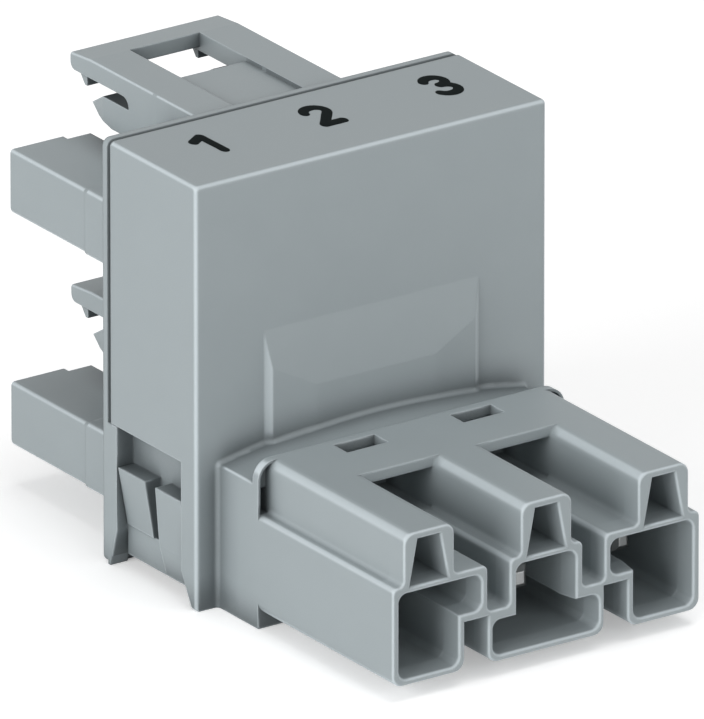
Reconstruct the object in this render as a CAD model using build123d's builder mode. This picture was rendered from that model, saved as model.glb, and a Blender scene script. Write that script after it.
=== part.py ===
# Three-pole distribution connector: one plug in front, two stacked sockets behind.
# Millimetres. X runs across the poles, Y from the plug to the sockets, Z up.
# The origin is under the middle of the object, on the surface it stands on.
import os
from math import atan, degrees

from build123d import *

os.makedirs("parts", exist_ok=True)

# Poles and rows
pole_pitch = 10.0
poles = (-1, 0, 1)
row_pitch = 17.75
row_names = ("lower", "upper")
pin_level = 5.4

# Hood, the box that joins plug and sockets
hood_margin = 1.9
hood_headroom = 14.45
hood_depth = 10.65
hood_wall = 1.4
hood_front_wall = 1.85
hood_round = 0.35
window_height = 10.85
cheek_cut_height = 2.6
cheek_cut_depth = 1.4

# Overall reach of plug, sockets and levers
plug_reach = 21.7
finger_reach = 15.9
lever_reach = 16.8
seam_width = 0.38
flange_thickness = 0.57
flange_corner = 0.6

# Plug: collar, neck and deck
plug_margin = 3.1
collar_front = 5.0
collar_thickness = 0.7
collar_corner = 1.4
neck_height = 12.15
neck_shoulder_height = 10.85
deck_height = 12.55
deck_plate = 0.8
deck_reach = 10.7
neck_round = 0.2
neck_root_blend = 0.35

# Plug: towers and the blocks on them
block_width = 4.3
block_round = 0.85
shoulder_height = 8.65
shoulder_round = 0.5
root_round = 0.4
tower_bottom = 1.15
tower_round = 0.85
arm_bottom = 4.75
arm_reach = 5.0
leg_reach = 3.05
middle_half = 3.1
foot_half = 4.95
foot_top = 5.1
web_overlap = 0.25

# Plug: cavities for the fingers of a mating socket
cavity_floor = 1.75
cavity_top = 7.95
cavity_half = 2.4
cavity_arm_reach = 4.35
cavity_arm_floor = 5.5
cavity_foot_half = 4.4
cavity_foot_top = 4.15
cavity_round = 0.7
cavity_end = 3.4
lead_in_depth = 1.7
lead_in_step = 0.15
rim_chamfer = 0.12

# Plug: coding recesses in the blocks, and slots in the deck
recess_floor = 8.5
recess_top = 12.0
recess_half_floor = 1.62
recess_half_top = 0.94
recess_depth = 8.0
slot_inner = 3.25
slot_outer = 6.7
slot_front = 6.75
slot_rear = 5.05
tunnel_rear = 4.9
collar_slot_rim = 0.2
collar_slot_depth = 0.5
collar_slot_pocket = 1.4
collar_slot_cover = 0.4

# Raised pad on the front of the hood
pad_half = 9.2
pad_side_inset = 0.54
pad_fold_half = 5.06
pad_top = 20.1
pad_fold_height = 15.3
pad_side_rise = 0.38
pad_middle_rise = 0.63

# Rear housing: skirt inside the hood, catches in its side windows
fit = 0.05
skirt_wall = 1.1
skirt_bottom = 0.93
back_wall = 1.3
rib_thickness = 1.0
strip_depth = 1.1
strip_full_height = 2.95
strip_foot_depth = 0.3
catch_top = 7.8
catch_front_depth = 3.2
catch_rear_depth = 3.3
catch_gap = 1.35
catch_foot = 3.3
catch_foot_inset = 0.95
catch_front_inset = 0.35
catch_rear_inset = 0.8

# Fingers of the sockets
finger_outer_half = 2.3
finger_leg_reach = 2.2
finger_arm_reach = 4.15
finger_arm_floor = 5.65
finger_bottom = 2.95
finger_top = 7.85
finger_middle_half = 2.25
finger_foot_half = 4.25
finger_foot_top = 4.0
finger_round = 0.45
finger_top_round = 0.32
finger_end_round = 0.28
finger_arm_setback = 0.8
finger_root_length = 6.2
finger_root_step = 0.08
finger_end_wall = 1.0
chamber_width = 3.4
chamber_height = 3.8
mouth_width = 2.0
mouth_height = 2.3
mouth_chamfer = 0.4

# Locking levers, in the levels of their own row
lever_width = 12.8
lever_arm_width = 3.4
lever_top = 13.8
lever_tail_gap = 0.4
lever_tip_drop = 0.2
lever_bar_start = 14.35
lever_bar_bottom = 12.7
lever_tip_round = 0.55
lever_top_round = 0.2
lever_arm_bottom = 12.4
lever_notch_end = 9.45
lever_notch_round = 0.75
prong_top = 11.55
prong_bottom = 9.4
prong_shoulder = 12.7
prong_tip = 14.6
prong_tip_level = 10.45
prong_heel = 11.6
prong_heel_rise = 0.45
prong_chin = 13.4
prong_side_cut = 0.4
lever_panel_end = 8.5
lever_panel_drop = 0.3
lever_panel_thickness = 0.9
hook_inner = 3.4
hook_outer = 6.1
hook_start = 15.1
hook_low = 15.4
hook_end = 16.15
hook_bottom = 11.5

# Hinge of each lever: stubs on two lugs of the rear housing, in blind bores of the lever
pivot_reach = 3.5
pivot_level = 10.9
stub_radius = 0.75
stub_length = 1.6
hinge_clearance = 0.05
lug_gap = 0.12
lug_thickness = 1.15
lug_bottom = 8.9
lug_end = 1.15
lug_round = 1.0

# Metal parts
pin_width = 1.45
pin_height = 1.7
pin_setback = 5.0
earth_pin_setback = 3.25
pin_chamfer = 0.4
pin_clearance = 0.1
busbar_width = 3.2
busbar_thickness = 0.8
busbar_round = 0.4
busbar_reach = 6.2
busbar_overhang = 2.0
blade_thickness = 0.5
blade_height = 2.8
fork_width = 2.6
throat_gap = 1.3
throat_reach = 11.6
fork_length = 13.4
flare_width = 1.5
band_thickness = 0.3
band_length = 4.0
band_reach = 7.6
band_clearance = 0.04

# Planes across the object, worked out from the sizes above
length = plug_reach + hood_depth + seam_width + flange_thickness + lever_reach
plug_face_y = -length / 2
hood_front_y = plug_face_y + plug_reach
hood_rear_y = hood_front_y + hood_depth
flange_front_y = hood_rear_y + seam_width
flange_rear_y = flange_front_y + flange_thickness
finger_tip_y = flange_rear_y + finger_reach
collar_y = hood_front_y - collar_front
deck_edge_y = hood_front_y - deck_reach
plug_half = pole_pitch + plug_margin
hood_half = plug_half + hood_margin
hood_height = row_pitch + hood_headroom
block_half = block_width / 2
arm_inner = pole_pitch - arm_reach
leg_inner = pole_pitch - leg_reach
lead_in_taper = degrees(atan(lead_in_step / lead_in_depth))
skirt_half = hood_half - hood_wall - fit
skirt_top = hood_height - hood_wall - fit
skirt_front_y = hood_front_y + hood_front_wall + fit
busbar_front_y = hood_front_y + busbar_reach
busbar_rear_y = busbar_front_y + busbar_thickness
lever_half = lever_width / 2
lever_inner = lever_half - lever_arm_width
pivot_y = flange_rear_y + pivot_reach


def across(y):
    # Plane across the object at y, seen from the plug: X to the right, Z up, extruding forwards
    return Plane.XZ.offset(-y)


def span(x_low, x_high, z_low, z_high):
    # Rectangle between two X and two Z values of a plane across the object
    with Locations(((x_low + x_high) / 2, (z_low + z_high) / 2)):
        Rectangle(x_high - x_low, z_high - z_low)


def corners(sketch, points):
    # Corners of a sketch at the given points
    return [sketch.vertices().sort_by_distance(Vector(x, z))[0] for x, z in points]


def both_sides(points):
    # The points and their mirror images across the middle
    return [(side * x, z) for x, z in points for side in (-1, 1)]


# Outline of the plug's three towers, as seen on its mating face
def tower_outline():
    with BuildSketch(across(plug_face_y)) as outline:
        for pole in poles:
            x = pole * pole_pitch
            span(x - block_half, x + block_half, foot_top, deck_height)
        for low, high in ((arm_inner, plug_half), (-plug_half, -arm_inner)):
            span(low, high, arm_bottom, shoulder_height)
        for low, high in ((leg_inner, plug_half), (-plug_half, -leg_inner)):
            span(low, high, tower_bottom, shoulder_height)
        span(-middle_half, middle_half, tower_bottom, shoulder_height)
        span(-foot_half, foot_half, tower_bottom, foot_top)
        web_half = arm_inner + web_overlap
        span(-web_half, web_half, arm_bottom, foot_top)
        block_sides = [pole * pole_pitch + side * block_half for pole in poles for side in (-1, 1)]
        fillet(corners(outline, [(x, deck_height) for x in block_sides]), block_round)
        fillet(corners(outline, [(x, shoulder_height) for x in block_sides]), root_round)
        shoulders = both_sides([(plug_half, shoulder_height), (arm_inner, shoulder_height)])
        fillet(corners(outline, shoulders), shoulder_round)
        middle_shoulders = both_sides([(middle_half, shoulder_height)])
        fillet(corners(outline, middle_shoulders), middle_half - block_half - root_round - fit)
        bottoms = both_sides([(x, tower_bottom) for x in (plug_half, leg_inner, foot_half)])
        fillet(corners(outline, bottoms), tower_round)
        channel_floor = both_sides([(middle_half, foot_top), (arm_inner, foot_top)])
        fillet(corners(outline, channel_floor), root_round)
    return outline.sketch


# Outline of the three cavities, grown by a step for the wider mouth
def cavity_outline(y, step):
    with BuildSketch(across(y)) as outline:
        low = cavity_floor - step
        top = cavity_top + step
        outer = pole_pitch + cavity_half + step
        leg = pole_pitch - cavity_half - step
        arm = pole_pitch - cavity_arm_reach - step
        arm_floor = cavity_arm_floor - step
        middle = cavity_half + step
        foot = cavity_foot_half + step
        foot_high = cavity_foot_top + step
        for side in (-1, 1):
            span(min(side * leg, side * outer), max(side * leg, side * outer), low, top)
            span(min(side * arm, side * outer), max(side * arm, side * outer), arm_floor, top)
        span(-middle, middle, low, top)
        span(-foot, foot, low, foot_high)
        rounded = [(outer, low), (outer, top), (leg, low), (arm, top), (arm, arm_floor)]
        rounded += [(middle, top), (foot, low), (foot, foot_high)]
        fillet(corners(outline, both_sides(rounded)), cavity_round)
    return outline.sketch


# Front housing: hood and plug, moulded in one piece
with BuildPart() as front_housing:
    # Hood with its rounded edges
    with BuildSketch(across(hood_rear_y)):
        span(-hood_half, hood_half, 0, hood_height)
    extrude(amount=hood_depth)
    hood_edges = front_housing.edges().filter_by(Axis.Y)
    hood_edges += front_housing.faces().sort_by(Axis.Y)[0].edges().sort_by(Axis.Z)[1:]
    fillet(hood_edges, hood_round)

    # Hollow, open to the back and below
    with BuildSketch(across(hood_rear_y)):
        span(-hood_half + hood_wall, hood_half - hood_wall, 0, hood_height - hood_wall)
    extrude(amount=hood_depth - hood_front_wall, mode=Mode.SUBTRACT)

    # Side windows for the catches, with the slanted foot of the cheek in front of them
    for side in (-1, 1):
        cheek_y = hood_front_y + hood_front_wall
        with BuildSketch(Plane.YZ.offset(side * hood_half)):
            with BuildLine():
                Polyline(
                    (hood_rear_y, 0),
                    (hood_rear_y, window_height),
                    (cheek_y, window_height),
                    (cheek_y, cheek_cut_height),
                    (cheek_y - cheek_cut_depth, 0),
                    close=True,
                )
            make_face()
        extrude(amount=-side * hood_wall, mode=Mode.SUBTRACT)

    # Raised pad with slanted sides, folded in three and running out at its top
    with BuildSketch(Plane.XY.offset(neck_shoulder_height)):
        with BuildLine():
            Polyline(
                (-pad_half, hood_front_y),
                (-pad_half + pad_side_inset, hood_front_y - pad_side_rise),
                (-pad_fold_half, hood_front_y - pad_middle_rise),
                (pad_fold_half, hood_front_y - pad_middle_rise),
                (pad_half - pad_side_inset, hood_front_y - pad_side_rise),
                (pad_half, hood_front_y),
                close=True,
            )
        make_face()
    extrude(amount=pad_top - neck_shoulder_height)
    with BuildSketch(Plane.YZ):
        with BuildLine():
            Polyline(
                (hood_front_y, pad_top),
                (hood_front_y - pad_middle_rise, pad_fold_height),
                (hood_front_y - 2 * pad_middle_rise, pad_fold_height),
                (hood_front_y - 2 * pad_middle_rise, pad_top),
                close=True,
            )
        make_face()
    extrude(amount=pad_half, both=True, mode=Mode.SUBTRACT)

    # Neck with its arched top
    with BuildSketch(across(hood_front_y)) as neck:
        with BuildLine():
            Line((-plug_half, 0), (plug_half, 0))
            Line((plug_half, 0), (plug_half, neck_shoulder_height))
            ThreePointArc(
                (plug_half, neck_shoulder_height),
                (0, neck_height),
                (-plug_half, neck_shoulder_height),
            )
            Line((-plug_half, neck_shoulder_height), (-plug_half, 0))
        make_face()
        fillet(corners(neck, both_sides([(plug_half, neck_shoulder_height)])), neck_round)
    extrude(amount=collar_front - collar_thickness)

    # Blend all along the root of the neck, round the foot of the pad too
    neck_root = [
        edge
        for edge in front_housing.edges()
        if hood_front_y - pad_middle_rise - fit < edge.center().Y < hood_front_y + fit
        and abs(edge.center().X) < plug_half + fit
        and edge.center().Z < neck_height + fit
    ]
    fillet(neck_root, neck_root_blend)

    # Collar
    with BuildSketch(across(collar_y)) as collar:
        span(-plug_half, plug_half, 0, deck_height)
        fillet(corners(collar, both_sides([(plug_half, deck_height)])), collar_corner)
    extrude(amount=-collar_thickness)

    # Towers, then the deck that joins them at the back
    extrude(tower_outline(), amount=-(plug_reach - collar_front))
    with BuildSketch(across(deck_edge_y)) as deck:
        deck_half = pole_pitch + block_half
        span(-deck_half, deck_half, foot_top, deck_height)
        fillet(corners(deck, both_sides([(deck_half, deck_height)])), block_round)
    extrude(amount=-(deck_reach - collar_front))

    # Tunnels under the deck and the slots that open into them
    for side in (-1, 1):
        tunnel = sorted((side * block_half, side * (pole_pitch - block_half)))
        with BuildSketch(across(hood_front_y - tunnel_rear)):
            span(*tunnel, shoulder_height, deck_height - deck_plate)
        extrude(amount=deck_reach - tunnel_rear, mode=Mode.SUBTRACT)
        slot = sorted((side * slot_inner, side * slot_outer))
        with BuildSketch(Plane.XY.offset(shoulder_height)):
            span(*slot, hood_front_y - slot_front, hood_front_y - slot_rear)
        extrude(amount=deck_height - shoulder_height, mode=Mode.SUBTRACT)

    # Narrow slots at both ends of the collar, running out under its round corners
    slot_half = plug_half - collar_slot_rim
    slot_top = deck_height - collar_slot_rim
    with BuildSketch(across(collar_y)) as collar_slots:
        span(-slot_half, slot_half, shoulder_height, slot_top)
        fillet(corners(collar_slots, both_sides([(slot_half, slot_top)])), collar_corner - collar_slot_rim)
        with Locations((0, deck_height / 2)):
            RectangleRounded(2 * deck_half, deck_height, block_round, mode=Mode.SUBTRACT)
    extrude(amount=-collar_slot_depth, mode=Mode.SUBTRACT)
    with BuildSketch(across(collar_y)):
        for side in (-1, 1):
            pocket = sorted((side * deck_half, side * slot_half))
            span(*pocket, shoulder_height, neck_shoulder_height - collar_slot_cover)
    extrude(amount=-collar_slot_pocket, mode=Mode.SUBTRACT)

    # Cavities with their wider mouths
    extrude(cavity_outline(plug_face_y, 0), amount=-(plug_reach - cavity_end), mode=Mode.SUBTRACT)
    lead_in = cavity_outline(plug_face_y, lead_in_step)
    extrude(lead_in, amount=-lead_in_depth, taper=lead_in_taper, mode=Mode.SUBTRACT)

    # Coding recesses in the blocks
    for pole in poles:
        x = pole * pole_pitch
        with BuildSketch(across(plug_face_y)):
            with BuildLine():
                Polyline(
                    (x - recess_half_floor, recess_floor),
                    (x + recess_half_floor, recess_floor),
                    (x + recess_half_top, recess_top),
                    (x - recess_half_top, recess_top),
                    close=True,
                )
            make_face()
        extrude(amount=-recess_depth, mode=Mode.SUBTRACT)

    # Softened rims of the mating face
    chamfer(front_housing.faces().sort_by(Axis.Y)[0].edges(), rim_chamfer)

    # Passages of the pins
    with BuildSketch(across(hood_front_y - cavity_end)):
        with Locations([(pole * pole_pitch, pin_level) for pole in poles]):
            Rectangle(pin_width + 2 * pin_clearance, pin_height + 2 * pin_clearance)
    extrude(amount=-(cavity_end + hood_front_wall), mode=Mode.SUBTRACT)

front_housing.part.label = "front_housing"
export_step(front_housing.part, "parts/front_housing.step")


# Outlines of the fingers of one row, grown by a step for their thicker roots
def finger_outline(y, base, step, arms):
    with BuildSketch(across(y)) as outline:
        low = base + finger_bottom - step
        top = base + finger_top + step
        outer = pole_pitch + finger_outer_half + step
        leg = pole_pitch - finger_leg_reach - step
        arm = pole_pitch - finger_arm_reach - step
        middle = finger_middle_half + step
        foot = finger_foot_half + step
        for side in (-1, 1):
            span(*sorted((side * leg, side * outer)), low, top)
            if arms:
                span(*sorted((side * arm, side * outer)), base + finger_arm_floor - step, top)
        span(-middle, middle, low, top)
        if arms:
            span(-foot, foot, low, base + finger_foot_top + step)
        fillet(corners(outline, both_sides([(outer, low)])), finger_round)
        fillet(corners(outline, both_sides([(outer, top), (middle, top)])), finger_top_round)
    return outline.sketch


# Rear housing: flange, skirt, fingers and the lugs of the levers, moulded in one piece
with BuildPart() as rear_housing:
    # Flange that closes the hood
    with BuildSketch(across(flange_rear_y)):
        with Locations((0, hood_height / 2)):
            RectangleRounded(2 * hood_half, hood_height, flange_corner)
    extrude(amount=flange_thickness)

    # Skirt inside the hood, open to the front, with ribs between the poles
    skirt_depth = flange_front_y - skirt_front_y
    with BuildSketch(across(flange_front_y)):
        span(-skirt_half, skirt_half, skirt_bottom, skirt_top)
    extrude(amount=skirt_depth)
    with BuildSketch(across(flange_front_y - back_wall)):
        span(
            -skirt_half + skirt_wall,
            skirt_half - skirt_wall,
            skirt_bottom + skirt_wall,
            skirt_top - skirt_wall,
        )
    extrude(amount=skirt_depth - back_wall, mode=Mode.SUBTRACT)
    with BuildSketch(across(flange_front_y - back_wall)):
        for side in (-1, 1):
            rib_x = side * pole_pitch / 2
            span(rib_x - rib_thickness / 2, rib_x + rib_thickness / 2, skirt_bottom, skirt_top)
    extrude(amount=skirt_depth - back_wall)

    # Strip behind each side window of the hood, flush with the hood
    for side in (-1, 1):
        strip_front_y = flange_front_y - strip_depth
        with BuildSketch(Plane.YZ.offset(side * hood_half)):
            with BuildLine():
                Polyline(
                    (flange_front_y, 0),
                    (flange_front_y, window_height - fit),
                    (strip_front_y, window_height - fit),
                    (strip_front_y, strip_full_height),
                    (flange_front_y - strip_foot_depth, 0),
                    close=True,
                )
            make_face()
        extrude(amount=-side * (hood_half - skirt_half))

    # Catches in each side window: a foot along the window with two wedges rising from it
    for side in (-1, 1):
        rear_wedge_y = skirt_front_y + catch_front_depth + catch_gap
        wedges = (
            (skirt_front_y, catch_front_depth, catch_front_inset),
            (rear_wedge_y, catch_rear_depth, catch_rear_inset),
        )
        for wedge_y, depth, inset in wedges:
            with BuildSketch(across(wedge_y)):
                with BuildLine():
                    Polyline(
                        (side * skirt_half, catch_foot),
                        (side * (hood_half - inset), catch_foot),
                        (side * hood_half, catch_top),
                        (side * skirt_half, catch_top),
                        close=True,
                    )
                make_face()
            extrude(amount=-depth)
        toes = (
            (catch_front_inset, catch_front_depth),
            (catch_foot_inset, flange_front_y - strip_depth - skirt_front_y),
        )
        for inset, depth in toes:
            with BuildSketch(across(skirt_front_y)):
                with BuildLine():
                    Polyline(
                        (side * skirt_half, skirt_bottom),
                        (side * (hood_half - catch_foot_inset), skirt_bottom),
                        (side * (hood_half - inset), catch_foot),
                        (side * skirt_half, catch_foot),
                        close=True,
                    )
                make_face()
            extrude(amount=-depth)

    for row in range(len(row_names)):
        base = row * row_pitch
        # Fingers: full shape from the tip of the arms, legs alone up to the tip, thicker roots
        arm_length = finger_reach - finger_arm_setback
        extrude(finger_outline(flange_rear_y + arm_length, base, 0, True), amount=arm_length)
        extrude(finger_outline(finger_tip_y, base, 0, False), amount=finger_reach)
        root_end_y = flange_rear_y + finger_root_length
        extrude(finger_outline(root_end_y, base, finger_root_step, True), amount=finger_root_length)

        # Lugs beside the lever, with the stubs that it turns on
        for side in (-1, 1):
            lug_x = side * (lever_half + lug_gap)
            with BuildSketch(Plane.YZ.offset(lug_x)) as lug:
                with BuildLine():
                    Polyline(
                        (flange_rear_y, base + lug_bottom),
                        (pivot_y + lug_end, base + lug_bottom),
                        (pivot_y + lug_end, base + pivot_level + lug_end),
                        (flange_rear_y, base + pivot_level + lug_end),
                        close=True,
                    )
                make_face()
                lug_corners = [
                    (pivot_y + lug_end, base + pivot_level + lug_end),
                    (pivot_y + lug_end, base + lug_bottom),
                ]
                fillet(corners(lug, lug_corners), lug_round)
            extrude(amount=side * lug_thickness)
            with BuildSketch(Plane.YZ.offset(lug_x)):
                with Locations((pivot_y, base + pivot_level)):
                    Circle(stub_radius)
            extrude(amount=-side * (stub_length + lug_gap))

    # Rounded ends of the fingers
    finger_count = len(poles) * len(row_names)
    finger_ends = rear_housing.faces().sort_by(Axis.Y)[-finger_count:]
    fillet([edge for face in finger_ends for edge in face.edges()], finger_end_round)

    # Chambers of the contacts, open to the inside of the hood, and the mouths of the fingers
    for row in range(len(row_names)):
        base = row * row_pitch
        chamber_points = [(pole * pole_pitch, base + pin_level) for pole in poles]
        chamber_end_y = finger_tip_y - finger_end_wall
        with BuildSketch(across(chamber_end_y)):
            with Locations(chamber_points):
                Rectangle(chamber_width, chamber_height)
        extrude(amount=chamber_end_y - (flange_front_y - back_wall), mode=Mode.SUBTRACT)
        with BuildSketch(across(finger_tip_y)):
            with Locations(chamber_points):
                Rectangle(mouth_width, mouth_height)
        extrude(amount=finger_end_wall, mode=Mode.SUBTRACT)
    finger_ends = rear_housing.faces().sort_by(Axis.Y)[-finger_count:]
    mouth_edges = [
        wire.edges()
        for face in finger_ends
        for wire in face.inner_wires()
    ]
    chamfer(mouth_edges, mouth_chamfer)

rear_housing.part.label = "rear_housing"
export_step(rear_housing.part, "parts/rear_housing.step")


# Locking lever: two arms with prongs, joined by a sunk panel and by the bar at the tip
def at_lever(reach, level):
    return (flange_rear_y + reach, level)


with BuildPart() as locking_lever:
    for side in (-1, 1):
        with BuildSketch(Plane.YZ.offset(side * lever_inner)) as arm:
            with BuildLine():
                Polyline(
                    at_lever(lever_tail_gap, lever_top),
                    at_lever(lever_bar_start, lever_top),
                    at_lever(lever_reach, lever_top - lever_tip_drop),
                    at_lever(lever_reach, lever_arm_bottom),
                    at_lever(lever_notch_end, lever_arm_bottom),
                    at_lever(lever_notch_end, prong_top),
                    at_lever(prong_shoulder, prong_top),
                    at_lever(prong_tip, prong_tip_level),
                    at_lever(prong_chin, prong_bottom + prong_heel_rise),
                    at_lever(prong_heel, prong_bottom),
                    at_lever(lever_tail_gap, prong_bottom),
                    close=True,
                )
            make_face()
            fillet(corners(arm, [at_lever(lever_notch_end, lever_arm_bottom)]), lever_notch_round)
            fillet(corners(arm, [at_lever(lever_reach, lever_arm_bottom)]), lever_tip_round)
        extrude(amount=side * lever_arm_width)
    long_edges = [
        edge
        for edge in locking_lever.edges()
        if abs(edge.center().X) > lever_half - fit
        and edge.center().Z > lever_top - lever_tip_drop
    ]
    fillet(long_edges, lever_top_round)

    # Prongs narrowed towards their tips
    for side in (-1, 1):
        with BuildSketch(Plane.XY.offset(prong_bottom)):
            with BuildLine():
                Polyline(
                    (side * lever_half, flange_rear_y + prong_shoulder),
                    (side * lever_half, flange_rear_y + prong_tip + fit),
                    (side * (lever_half - prong_side_cut), flange_rear_y + prong_tip + fit),
                    close=True,
                )
            make_face()
        extrude(amount=prong_top - prong_bottom, mode=Mode.SUBTRACT)

    # Sunk panel between the arms
    panel_top = lever_top - lever_panel_drop
    with BuildSketch(Plane.XY.offset(panel_top - lever_panel_thickness)):
        span(
            -lever_inner,
            lever_inner,
            flange_rear_y + lever_tail_gap,
            flange_rear_y + lever_panel_end,
        )
    extrude(amount=lever_panel_thickness)

    # Bar at the tip
    with BuildSketch(Plane.YZ) as bar:
        with BuildLine():
            Polyline(
                at_lever(lever_bar_start, lever_top),
                at_lever(lever_reach, lever_top - lever_tip_drop),
                at_lever(lever_reach, lever_bar_bottom),
                at_lever(lever_bar_start, lever_bar_bottom),
                close=True,
            )
        make_face()
    extrude(amount=lever_inner, both=True)

    # Hooks under the arms, with their lead-in slopes
    for side in (-1, 1):
        with BuildSketch(Plane.YZ.offset(side * hook_inner)):
            with BuildLine():
                Polyline(
                    at_lever(hook_start, lever_arm_bottom + fit),
                    at_lever(hook_start, hook_bottom),
                    at_lever(hook_low, hook_bottom),
                    at_lever(hook_end, lever_arm_bottom + fit),
                    close=True,
                )
            make_face()
        extrude(amount=side * (hook_outer - hook_inner))

    # Blind bores for the stubs
    for side in (-1, 1):
        with BuildSketch(Plane.YZ.offset(side * lever_half)):
            with Locations((pivot_y, pivot_level)):
                Circle(stub_radius + hinge_clearance)
        extrude(amount=-side * (stub_length + hinge_clearance), mode=Mode.SUBTRACT)

for row, row_name in enumerate(row_names):
    lever = locking_lever.part.moved(Location((0, 0, row * row_pitch)))
    lever.label = "locking_lever_" + row_name
    export_step(lever, "parts/locking_lever_" + row_name + ".step")

# Busbars, one standing strip for each pole
busbar_height = row_pitch + 2 * busbar_overhang
with BuildPart() as busbar:
    with BuildSketch(across(busbar_rear_y)):
        with Locations((0, pin_level + row_pitch / 2)):
            RectangleRounded(busbar_width, busbar_height, busbar_round)
    extrude(amount=busbar_thickness)

for number, pole in enumerate(poles, 1):
    strip = busbar.part.moved(Location((pole * pole_pitch, 0, 0)))
    strip.label = "busbar_" + str(number)
    export_step(strip, "parts/busbar_" + str(number) + ".step")

# Plug pins, standing on the busbars; the one in the middle reaches further forward
for number, pole in enumerate(poles, 1):
    setback = earth_pin_setback if pole == 0 else pin_setback
    pin_length = busbar_front_y - plug_face_y - setback
    with BuildPart() as plug_pin:
        with BuildSketch(across(busbar_front_y)):
            with Locations((pole * pole_pitch, pin_level)):
                Rectangle(pin_width, pin_height)
        extrude(amount=pin_length)
        chamfer(plug_pin.faces().sort_by(Axis.Y)[0].edges(), pin_chamfer)
    plug_pin.part.label = "plug_pin_" + str(number)
    export_step(plug_pin.part, "parts/plug_pin_" + str(number) + ".step")

# Fork contact of a socket: a bent strip whose blades close on the pin
with BuildPart() as socket_contact:
    web_y = busbar_rear_y + blade_thickness / 2
    arm_x = (fork_width - blade_thickness) / 2
    throat_x = (throat_gap + blade_thickness) / 2
    with BuildSketch(Plane.XY.offset(pin_level - blade_height / 2)):
        with BuildLine():
            Polyline(
                (-flare_width / 2 - blade_thickness / 2, busbar_rear_y + fork_length),
                (-throat_x, busbar_rear_y + throat_reach),
                (-arm_x, web_y),
                (arm_x, web_y),
                (throat_x, busbar_rear_y + throat_reach),
                (flare_width / 2 + blade_thickness / 2, busbar_rear_y + fork_length),
            )
        trace(line_width=blade_thickness)
    extrude(amount=blade_height)

# Steel band that presses the blades together
with BuildPart() as contact_spring:
    band_share = (band_reach - blade_thickness / 2) / (throat_reach - blade_thickness / 2)
    band_half = arm_x + (throat_x - arm_x) * band_share + blade_thickness / 2 + band_clearance
    with BuildSketch(across(busbar_rear_y + band_reach + band_length)):
        with Locations((0, pin_level)):
            Rectangle(
                2 * (band_half + band_thickness),
                blade_height + 2 * (band_clearance + band_thickness),
            )
            Rectangle(2 * band_half, blade_height + 2 * band_clearance, mode=Mode.SUBTRACT)
    extrude(amount=band_length)

for row, row_name in enumerate(row_names):
    for number, pole in enumerate(poles, 1):
        place = Location((pole * pole_pitch, 0, row * row_pitch))
        suffix = row_name + "_" + str(number)
        contact = socket_contact.part.moved(place)
        contact.label = "socket_contact_" + suffix
        export_step(contact, "parts/socket_contact_" + suffix + ".step")
        spring = contact_spring.part.moved(place)
        spring.label = "contact_spring_" + suffix
        export_step(spring, "parts/contact_spring_" + suffix + ".step")
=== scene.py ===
import math

import bpy
from mathutils import Matrix, Vector


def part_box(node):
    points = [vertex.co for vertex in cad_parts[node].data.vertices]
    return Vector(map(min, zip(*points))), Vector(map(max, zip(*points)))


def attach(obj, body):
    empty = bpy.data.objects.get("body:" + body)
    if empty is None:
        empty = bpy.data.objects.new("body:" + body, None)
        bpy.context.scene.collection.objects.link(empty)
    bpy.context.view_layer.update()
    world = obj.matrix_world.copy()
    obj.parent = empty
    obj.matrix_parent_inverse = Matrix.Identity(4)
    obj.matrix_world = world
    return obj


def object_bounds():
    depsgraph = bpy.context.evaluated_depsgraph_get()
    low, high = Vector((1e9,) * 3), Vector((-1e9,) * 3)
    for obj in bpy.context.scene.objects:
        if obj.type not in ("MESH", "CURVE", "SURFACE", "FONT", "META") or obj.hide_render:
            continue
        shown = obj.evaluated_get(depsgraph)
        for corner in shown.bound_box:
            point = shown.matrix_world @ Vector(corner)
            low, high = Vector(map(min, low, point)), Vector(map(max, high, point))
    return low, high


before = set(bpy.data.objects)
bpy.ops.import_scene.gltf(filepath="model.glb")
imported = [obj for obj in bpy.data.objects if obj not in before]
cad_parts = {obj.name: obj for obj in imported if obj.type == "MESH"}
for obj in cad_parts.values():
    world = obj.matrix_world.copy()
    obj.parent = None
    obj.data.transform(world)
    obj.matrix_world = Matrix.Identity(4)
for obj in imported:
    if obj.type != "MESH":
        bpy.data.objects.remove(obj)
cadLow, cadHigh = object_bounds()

scene = bpy.context.scene
scene.view_settings.view_transform = "Standard"


def addObject(name, data):
    item = bpy.data.objects.new(name, data)
    scene.collection.objects.link(item)
    return item


# Turns a camera or a lamp so that it looks along a direction
def lookAlong(item, way):
    item.rotation_mode = "QUATERNION"
    item.rotation_quaternion = way.to_track_quat("-Z", "Y")


# Camera: a very long lens, so that parallel edges stay parallel
cameraSettings = {
    "azimuth": -34.45,                     # degrees round the object, 0 looks at the plug face
    "elevation": 21.95,                    # degrees above the floor
    "aim": (-0.00167, -0.00335, 0.0162),   # point in the middle of the frame
    "frameHeight": 0.05067,                # height that the frame takes in at that point
    "lens": 1600.0,
    "sensor": 36.0,
    "clip": (0.1, 4.0),                    # nearest and farthest view, in camera distances
}


def placeCamera(s):
    data = bpy.data.cameras.new("productCamera")
    data.lens = s["lens"]
    data.sensor_width = s["sensor"]
    camera = addObject("productCamera", data)
    around, above = math.radians(s["azimuth"]), math.radians(s["elevation"])
    level = math.cos(above)
    back = Vector((math.sin(around) * level, -math.cos(around) * level, math.sin(above)))
    distance = s["frameHeight"] * s["lens"] / s["sensor"]
    camera.location = Vector(s["aim"]) + back * distance
    lookAlong(camera, -back)
    data.clip_start, data.clip_end = (distance * share for share in s["clip"])
    scene.camera = camera


placeCamera(cameraSettings)
print("camera placed")


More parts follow.
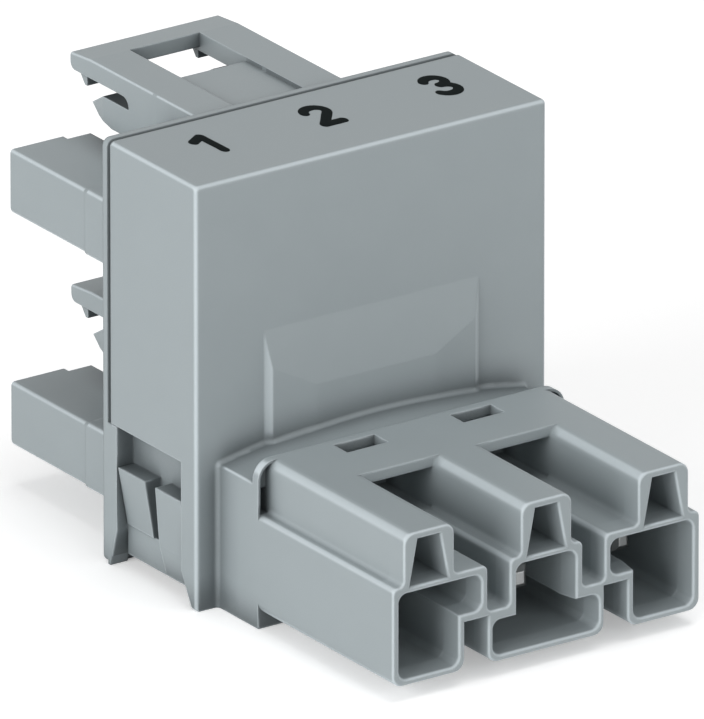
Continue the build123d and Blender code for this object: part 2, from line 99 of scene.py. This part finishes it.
# Helpers for node trees: a setting is an attribute of the node or the value of one of its inputs
def addNode(tree, kind, **values):
    node = tree.nodes.new(kind)
    for name, value in values.items():
        if hasattr(node, name) and name not in node.inputs:
            setattr(node, name, value)
        else:
            node.inputs[name].default_value = value
    return node


def join(tree, fromSocket, toSocket):
    tree.links.new(fromSocket, toSocket)


# A new node whose first input takes the given socket
def nodeAfter(tree, socket, kind, **values):
    node = addNode(tree, kind, **values)
    join(tree, socket, node.inputs[0])
    return node


def mathNode(tree, operation, *inputs):
    node = addNode(tree, "ShaderNodeMath", operation=operation)
    for socket, value in zip(node.inputs, inputs):
        if isinstance(value, (int, float)):
            socket.default_value = value
        else:
            join(tree, value, socket)
    return node.outputs[0]


# The same operation from one value to the next
def mathChain(tree, operation, first, *others):
    for other in others:
        first = mathNode(tree, operation, first, other)
    return first


def oneMinus(tree, value):
    return mathNode(tree, "SUBTRACT", 1.0, value)


def rampUp(tree, value, start, full):
    ramp = addNode(tree, "ShaderNodeMapRange", interpolation_type="SMOOTHSTEP")
    ramp.inputs["From Min"].default_value = start
    ramp.inputs["From Max"].default_value = full
    join(tree, value, ramp.inputs["Value"])
    return ramp.outputs["Result"]


def mapTo(tree, value, low, high):
    spread = addNode(tree, "ShaderNodeMapRange")
    spread.inputs["To Min"].default_value = low
    spread.inputs["To Max"].default_value = high
    join(tree, value, spread.inputs["Value"])
    return spread.outputs["Result"]


def mixColour(tree, factor, low, high):
    mix = addNode(tree, "ShaderNodeMix", data_type="RGBA")
    join(tree, factor, mix.inputs[0])
    for socket, value in ((mix.inputs[6], low), (mix.inputs[7], high)):    # A and B as colours
        if isinstance(value, tuple):
            socket.default_value = (*value, 1.0)
        else:
            join(tree, value, socket)
    return mix.outputs[2]


# Share of open space round a point of the surface, within the given distance
def openness(tree, distance, samples, **values):
    around = addNode(tree, "ShaderNodeAmbientOcclusion", samples=samples, **values)
    join(tree, distance, around.inputs["Distance"])
    return around.outputs["AO"]


# Shader groups that the finishes share: a name with its first value for each input
def newGroup(name, inputs, outputs):
    group = bpy.data.node_groups.new(name, "ShaderNodeTree")
    sockets = group.interface
    for socketName, value in inputs.items():
        socket = sockets.new_socket(name=socketName, in_out="INPUT", socket_type="NodeSocketFloat")
        socket.default_value = value
    for socketName, socketType in outputs.items():
        sockets.new_socket(name=socketName, in_out="OUTPUT", socket_type=socketType)
    return group, group.nodes.new("NodeGroupInput"), group.nodes.new("NodeGroupOutput")


def useGroup(tree, group, values):
    node = tree.nodes.new("ShaderNodeGroup")
    node.node_tree = group
    for name, value in values.items():
        node.inputs[name].default_value = value
    return node


# Rounded edges for the shading, and a mask of the painted highlight line along outer edges and
# rounds
softEdgeSettings = {
    "bevelSamples": 6,
    "openSamples": 12,
    "turned": (0.03, 0.14),                # how far a rounded normal leaves the nearest axis
    "outer": (0.0, 0.08),                  # how much open space lies below the surface
    "bare": (0.86, 0.98),                  # how open the outside has to be for a painted highlight line
}


def buildSoftEdge(s):
    group, given, result = newGroup(
        "softEdge",
        {"Radius": 0.0002, "Reach": 0.00034, "Round Share": 0.5, "Hollow Reach": 0.001},
        {"Edge": "NodeSocketFloat", "Normal": "NodeSocketVector"},
    )
    bevel = addNode(group, "ShaderNodeBevel", samples=s["bevelSamples"])
    join(group, given.outputs["Radius"], bevel.inputs["Radius"])
    join(group, bevel.outputs["Normal"], result.inputs["Normal"])
    facing = nodeAfter(group, bevel.outputs["Normal"], "ShaderNodeSeparateXYZ")
    sides = [mathNode(group, "ABSOLUTE", side) for side in facing.outputs]
    flatness = mathChain(group, "MAXIMUM", *sides)
    turned = rampUp(group, oneMinus(group, flatness), *s["turned"])
    within = openness(group, given.outputs["Reach"], s["openSamples"], inside=True, only_local=True)
    outer = rampUp(group, oneMinus(group, within), *s["outer"])
    line = mathNode(group, "MAXIMUM", outer, given.outputs["Round Share"])
    outside = openness(group, given.outputs["Hollow Reach"], s["openSamples"], only_local=True)
    bare = rampUp(group, outside, *s["bare"])
    join(group, mathChain(group, "MULTIPLY", turned, line, bare), result.inputs["Edge"])
    return group


# Mask of the hollows and inner corners, for the painted shade there and the painted light in the
# cavity mouths
hollowSamples = 8


def buildHollows(samples):
    group, given, result = newGroup(
        "hollows",
        {"Reach": 0.0025, "Start": 0.05, "Full": 0.5},
        {"Hollow": "NodeSocketFloat"},
    )
    closed = oneMinus(group, openness(group, given.outputs["Reach"], samples))
    ramp = nodeAfter(group, closed, "ShaderNodeMapRange")
    join(group, given.outputs["Start"], ramp.inputs["From Min"])
    join(group, given.outputs["Full"], ramp.inputs["From Max"])
    join(group, ramp.outputs["Result"], result.inputs["Hollow"])
    return group


# Skin of a part: the fine grain of its surface, and broad clouds in colour and gloss
mouldSkinSettings = {
    "fine": {"Detail": 3.0, "Roughness": 0.6},
    "cloud": {"Detail": 2.0},
}


def buildMouldSkin(s):
    group, given, result = newGroup(
        "mouldSkin",
        {"Grain Size": 9000.0, "Cloud Size": 220.0, "Grain": 0.25},
        {"Height": "NodeSocketFloat", "Cloud": "NodeSocketFloat"},
    )
    place = addNode(group, "ShaderNodeTexCoord")
    fine, cloud = (
        nodeAfter(group, place.outputs["Object"], "ShaderNodeTexNoise", **s[name])
        for name in ("fine", "cloud")
    )
    join(group, given.outputs["Grain Size"], fine.inputs["Scale"])
    join(group, given.outputs["Cloud Size"], cloud.inputs["Scale"])
    height = mathNode(group, "MULTIPLY", fine.outputs["Fac"], given.outputs["Grain"])
    join(group, height, result.inputs["Height"])
    join(group, cloud.outputs["Fac"], result.inputs["Cloud"])
    return group


softEdge = buildSoftEdge(softEdgeSettings)
hollows = buildHollows(hollowSamples)
mouldSkin = buildMouldSkin(mouldSkinSettings)
print("shader groups built")


def newMaterial(name):
    material = bpy.data.materials.new(name)
    material.use_nodes = True
    tree = material.node_tree
    tree.nodes.clear()
    output = tree.nodes.new("ShaderNodeOutputMaterial")
    shader = tree.nodes.new("ShaderNodeBsdfPrincipled")
    join(tree, shader.outputs[0], output.inputs["Surface"])
    return material, tree, shader


def addSkin(tree, s):
    sizes = {"Grain Size": s["grainSize"], "Cloud Size": s["cloudSize"], "Grain": s["grain"]}
    skin = useGroup(tree, mouldSkin, sizes)
    return skin, mixColour(tree, skin.outputs["Cloud"], s["dark"], s["light"])


# Roughness and bump from the skin, over rounded edges where there are any
def finishSurface(tree, shader, skin, s, edge=None):
    rough = mapTo(tree, skin.outputs["Cloud"], s["roughLow"], s["roughHigh"])
    join(tree, rough, shader.inputs["Roughness"])
    bump = addNode(tree, "ShaderNodeBump", Strength=1.0, Distance=s["grainDepth"])
    join(tree, skin.outputs["Height"], bump.inputs["Height"])
    if edge:
        join(tree, edge.outputs["Normal"], bump.inputs["Normal"])
    join(tree, bump.outputs["Normal"], shader.inputs["Normal"])


# Grey moulded plastic of the housing and the levers, all lengths in metres
housingGrey = {
    "dark": (0.264, 0.300, 0.313),
    "light": (0.280, 0.317, 0.330),
    "edge": (0.56, 0.62, 0.65),            # painted highlight along the edges, also the painted light in the cavity mouths
    "edgeRadius": 0.00027,
    "edgeReach": 0.00034,
    "edgeShare": 0.68,
    "roundShare": 0.62,                    # how strong the painted highlight on the moulded rounds is beside sharp edges
    "seams": ((0.00780, 0.00062), (0.01445, 0.00025)),    # middle and reach along Y, no painted highlight line
    "seamShadeCut": 0.45,                     # how much less painted shade the hollows get at the seams
    "leadIn": (-0.02335, -0.02315),        # along Y, end of the painted light in the mouths of the cavities
    "leadInShare": 0.16,
    "paintedShade": (0.085, 0.100, 0.106),         # painted shade colour down in the hollows
    "paintedShadeShare": 0.9,
    "paintedShadeReach": 0.0028,
    "paintedShadeFrom": (-0.0105, -0.0080),        # along Y, the plug ahead of its collar gets no painted shade
    "grainSize": 8000.0,
    "grain": 0.5,
    "grainDepth": 0.00002,
    "cloudSize": 260.0,
    "roughLow": 0.42,
    "roughHigh": 0.52,
    "specular": 0.42,
}
leverGrey = dict(
    housingGrey,
    edgeRadius=0.00018,
    edgeShare=0.6,
    roundShare=0.0,
    cloudSize=300.0,
    roughLow=0.38,
    roughHigh=0.48,
)


def mouldedPlastic(name, s):
    material, tree, shader = newMaterial(name)
    skin, body = addSkin(tree, s)
    edge = useGroup(
        tree,
        softEdge,
        {"Radius": s["edgeRadius"], "Reach": s["edgeReach"], "Round Share": s["roundShare"]},
    )
    hollow = useGroup(tree, hollows, {"Reach": s["paintedShadeReach"]}).outputs["Hollow"]
    place = addNode(tree, "ShaderNodeTexCoord")
    split = nodeAfter(tree, place.outputs["Object"], "ShaderNodeSeparateXYZ")
    along = split.outputs["Y"]
    bands = [mathNode(tree, "COMPARE", along, middle, reach) for middle, reach in s["seams"]]
    atSeam = mathChain(tree, "MAXIMUM", *bands)
    away = oneMinus(tree, atSeam)
    # Painted highlight: outer edges and rounds painted paler, except at the seams
    paintedHighlight = mathChain(tree, "MULTIPLY", edge.outputs["Edge"], s["edgeShare"], away)
    # Painted shade: hollows and inner corners behind the collar painted darker, less at the seams
    behind = rampUp(tree, along, *s["paintedShadeFrom"])
    seamShadeFactor = oneMinus(tree, mathNode(tree, "MULTIPLY", atSeam, s["seamShadeCut"]))
    paintedShade = mathChain(tree, "MULTIPLY", hollow, s["paintedShadeShare"], behind, seamShadeFactor)
    # Painted light: the mouths of the cavities painted paler than their deeper part
    ahead = oneMinus(tree, rampUp(tree, along, *s["leadIn"]))
    mouth = mathChain(tree, "MULTIPLY", hollow, ahead, s["leadInShare"])
    shadedBody = mixColour(tree, paintedShade, body, s["paintedShade"])
    lit = mixColour(tree, mouth, shadedBody, s["edge"])
    join(tree, mixColour(tree, paintedHighlight, lit, s["edge"]), shader.inputs["Base Color"])
    finishSurface(tree, shader, skin, s, edge)
    shader.inputs["Specular IOR Level"].default_value = s["specular"]
    return material


# Metal strip and sheet inside the connector
tinPlate = {
    "dark": (0.33, 0.34, 0.34),
    "light": (0.43, 0.44, 0.44),
    "roughLow": 0.34,
    "roughHigh": 0.48,
    "metallic": 1.0,
    "edgeRadius": 0.0001,
    "grainSize": 12000.0,
    "grain": 0.4,
    "grainDepth": 0.000008,
    "cloudSize": 700.0,
}
copperStrip = dict(tinPlate, dark=(0.62, 0.30, 0.17), light=(0.78, 0.42, 0.26), roughLow=0.30)
springSteel = dict(
    tinPlate,
    dark=(0.36, 0.36, 0.37),
    light=(0.48, 0.48, 0.49),
    roughLow=0.24,
    roughHigh=0.36,
)


def rolledMetal(name, s):
    material, tree, shader = newMaterial(name)
    skin, body = addSkin(tree, s)
    edge = useGroup(tree, softEdge, {"Radius": s["edgeRadius"]})
    join(tree, body, shader.inputs["Base Color"])
    finishSurface(tree, shader, skin, s, edge)
    shader.inputs["Metallic"].default_value = s["metallic"]
    return material


finishes = {
    "front_housing": mouldedPlastic("housingPlastic", housingGrey),
    "locking_lever": mouldedPlastic("leverPlastic", leverGrey),
    "plug_pin": rolledMetal("tinnedPin", tinPlate),
    "busbar": rolledMetal("busbarCopper", copperStrip),
    "contact_spring": rolledMetal("bandSteel", springSteel),
}
finishes["rear_housing"] = finishes["front_housing"]
finishes["socket_contact"] = finishes["plug_pin"]


def dressNodes():
    for name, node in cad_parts.items():
        finish = next(material for start, material in finishes.items() if name.startswith(start))
        node.data.materials.clear()
        node.data.materials.append(finish)


dressNodes()
print("CAD pieces dressed")


# Pole numbers: round-ended lines of ink on the top of the hood
printedInk = {
    "dark": (0.003, 0.005, 0.005),
    "light": (0.006, 0.009, 0.009),
    "roughLow": 0.70,
    "roughHigh": 0.85,
    "specular": 0.04,
    "grainSize": 9000.0,
    "grain": 0.5,
    "grainDepth": 0.000015,
    "cloudSize": 1500.0,
}
poleNumbers = {
    "lineWidth": 0.00070,
    "penStretch": 1.36,                    # strokes are this much wider along Y
    "filmHeight": 0.00003,
    "fineness": 0.00004,                   # size of the smallest step along the ink's edge
    "middleY": 0.0031,
    "middlesX": {"1": -0.00977, "2": 0.00027, "3": 0.01035},
}
perMetre = 1000                            # millimetres


def blackInk(name, s):
    material, tree, shader = newMaterial(name)
    skin, body = addSkin(tree, s)
    join(tree, body, shader.inputs["Base Color"])
    finishSurface(tree, shader, skin, s)
    shader.inputs["Specular IOR Level"].default_value = s["specular"]
    return material


def arc(x, y, radius, start, end, steps=14):
    angles = [math.radians(start + (end - start) * i / steps) for i in range(steps + 1)]
    return [(x + radius * math.cos(a), y + radius * math.sin(a)) for a in angles]


# Centre lines in millimetres round the middle of each number
numberLines = {
    "1": [[(-0.45, 0.78), (0.54, 1.44), (0.58, -1.56)]],
    "2": [arc(-0.13, 0.78, 0.84, 172, -34) + [(-0.92, -1.62), (0.64, -1.60)]],
    "3": [arc(0.0, 0.86, 0.78, 160, -80), arc(-0.04, -0.78, 0.86, 88, -152)],
}


# Swells lines of points into round strokes, then presses them into a thin film
def buildInkLine():
    tree = bpy.data.node_groups.new("inkLine", "GeometryNodeTree")
    for name, way, socketType in (
        ("Geometry", "INPUT", "NodeSocketGeometry"),
        ("Line Width", "INPUT", "NodeSocketFloat"),
        ("Film Height", "INPUT", "NodeSocketFloat"),
        ("Fineness", "INPUT", "NodeSocketFloat"),
        ("Ink", "INPUT", "NodeSocketMaterial"),
        ("Geometry", "OUTPUT", "NodeSocketGeometry"),
    ):
        tree.interface.new_socket(name=name, in_out=way, socket_type=socketType)
    given, result = tree.nodes.new("NodeGroupInput"), tree.nodes.new("NodeGroupOutput")
    half = mathNode(tree, "MULTIPLY", given.outputs["Line Width"], 0.5)
    line = nodeAfter(tree, given.outputs["Geometry"], "GeometryNodeMeshToCurve")
    even = nodeAfter(tree, line.outputs[0], "GeometryNodeResampleCurve", mode="LENGTH")
    join(tree, given.outputs["Fineness"], even.inputs["Length"])
    dots = nodeAfter(tree, even.outputs[0], "GeometryNodeCurveToPoints", mode="EVALUATED")
    flow = nodeAfter(
        tree, dots.outputs["Points"], "GeometryNodePointsToVolume", resolution_mode="VOXEL_SIZE"
    )
    join(tree, half, flow.inputs["Radius"])
    join(tree, given.outputs["Fineness"], flow.inputs["Voxel Size"])
    stroke = nodeAfter(tree, flow.outputs[0], "GeometryNodeVolumeToMesh")
    flat = addNode(tree, "ShaderNodeCombineXYZ", X=1.0, Y=1.0)
    join(tree, mathNode(tree, "DIVIDE", given.outputs["Film Height"], half), flat.inputs["Z"])
    press = nodeAfter(tree, stroke.outputs[0], "GeometryNodeTransform")
    join(tree, flat.outputs[0], press.inputs["Scale"])
    smooth = nodeAfter(tree, press.outputs[0], "GeometryNodeSetShadeSmooth")
    real = nodeAfter(tree, smooth.outputs[0], "GeometryNodeRealizeInstances")
    paint = nodeAfter(tree, real.outputs[0], "GeometryNodeSetMaterial")
    join(tree, given.outputs["Ink"], paint.inputs["Material"])
    join(tree, paint.outputs[0], result.inputs["Geometry"])
    return tree


def bakeTree(source, tree, name, values):
    modifier = source.modifiers.new("tree", "NODES")
    modifier.node_group = tree
    for socket in tree.interface.items_tree:
        if socket.in_out == "INPUT" and socket.name in values:
            modifier[socket.identifier] = values[socket.name]
    bpy.context.view_layer.update()
    graph = bpy.context.evaluated_depsgraph_get()
    mesh = bpy.data.meshes.new_from_object(source.evaluated_get(graph), depsgraph=graph)
    source.modifiers.clear()
    bpy.data.objects.remove(source)
    mesh.name = name
    return addObject(name, mesh)


def makePoleNumbers(s):
    ink = blackInk("printedInk", printedInk)
    tree = buildInkLine()
    values = {
        "Line Width": s["lineWidth"],
        "Film Height": s["filmHeight"],
        "Fineness": s["fineness"],
        "Ink": ink,
    }
    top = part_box("front_housing")[1].z
    for digit, lines in numberLines.items():
        corners, edges = [], []
        for line in lines:
            first = len(corners)
            corners += [(x / perMetre, y / perMetre / s["penStretch"], 0.0) for x, y in line]
            edges += [(i, i + 1) for i in range(first, len(corners) - 1)]
        mesh = bpy.data.meshes.new("numberLine")
        mesh.from_pydata(corners, edges, [])
        source = addObject("numberLine", mesh)
        number = bakeTree(source, tree, "pole_number_" + digit, values)
        place = Matrix.Translation((s["middlesX"][digit], s["middleY"], top))
        number.data.transform(place @ Matrix.Diagonal((1.0, s["penStretch"], 1.0, 1.0)))
        number.data.materials.clear()
        number.data.materials.append(ink)
        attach(number, "housing")


makePoleNumbers(poleNumbers)
print("pole numbers printed")


# Studio: a white floor and three soft lamps
studio = {
    "floorSize": 1.2,
    "floorColour": (0.97, 0.97, 0.97),
    "floorLift": 0.31,                     # paler still to the camera, so only the shadow shows
    "floorRough": 0.9,
    "floorSpecular": 0.0,
    "worldLevel": 0.30,
    "backdropLevel": 1.0,                  # white behind the floor and in reflections
    "lampDistance": 0.9,
    "lamps": {                             # direction from the object, size, power
        "leftBank": {"from": (-1.0, -0.16, 0.24), "size": 0.8, "power": 8.2},
        "topBank": {"from": (0.12, -0.05, 1.0), "size": 0.6, "power": 2.6},
        "frontBank": {"from": (0.20, -1.0, 0.16), "size": 0.8, "power": 4.15},
    },
}


def makeFloor(s):
    half = s["floorSize"] / 2
    corners = [(-half, -half, 0), (half, -half, 0), (half, half, 0), (-half, half, 0)]
    mesh = bpy.data.meshes.new("floor")
    mesh.from_pydata(corners, [], [(0, 1, 2, 3)])
    floor = addObject("floor", mesh)
    material, tree, shader = newMaterial("paleFloor")
    shader.inputs["Base Color"].default_value = (*s["floorColour"], 1.0)
    path = tree.nodes.new("ShaderNodeLightPath")
    lift = mixColour(tree, path.outputs["Is Camera Ray"], (0.0, 0.0, 0.0), (1.0, 1.0, 1.0))
    join(tree, lift, shader.inputs["Emission Color"])
    shader.inputs["Emission Strength"].default_value = s["floorLift"]
    shader.inputs["Roughness"].default_value = s["floorRough"]
    shader.inputs["Specular IOR Level"].default_value = s["floorSpecular"]
    mesh.materials.append(material)


def makeWorld(s):
    world = bpy.data.worlds.new("studioWorld")
    scene.world = world
    world.use_nodes = True
    tree = world.node_tree
    tree.nodes.clear()
    path = tree.nodes.new("ShaderNodeLightPath")
    rays = [path.outputs["Is " + kind + " Ray"] for kind in ("Camera", "Glossy", "Transmission")]
    choose = nodeAfter(tree, mathChain(tree, "MAXIMUM", *rays), "ShaderNodeMixShader")
    for socket, level in zip(choose.inputs[1:], (s["worldLevel"], s["backdropLevel"])):
        light = addNode(tree, "ShaderNodeBackground", Strength=level, Color=(1.0, 1.0, 1.0, 1.0))
        join(tree, light.outputs[0], socket)
    output = tree.nodes.new("ShaderNodeOutputWorld")
    join(tree, choose.outputs[0], output.inputs["Surface"])


def makeLamps(s):
    middle = (cadLow + cadHigh) / 2
    for name, lamp in s["lamps"].items():
        data = bpy.data.lights.new(name, "AREA")
        data.shape = "DISK"
        data.size = lamp["size"]
        data.energy = lamp["power"]
        place = addObject(name, data)
        way = Vector(lamp["from"]).normalized()
        place.location = middle + way * s["lampDistance"]
        lookAlong(place, -way)


makeFloor(studio)
makeWorld(studio)
makeLamps(studio)
print("studio set up")
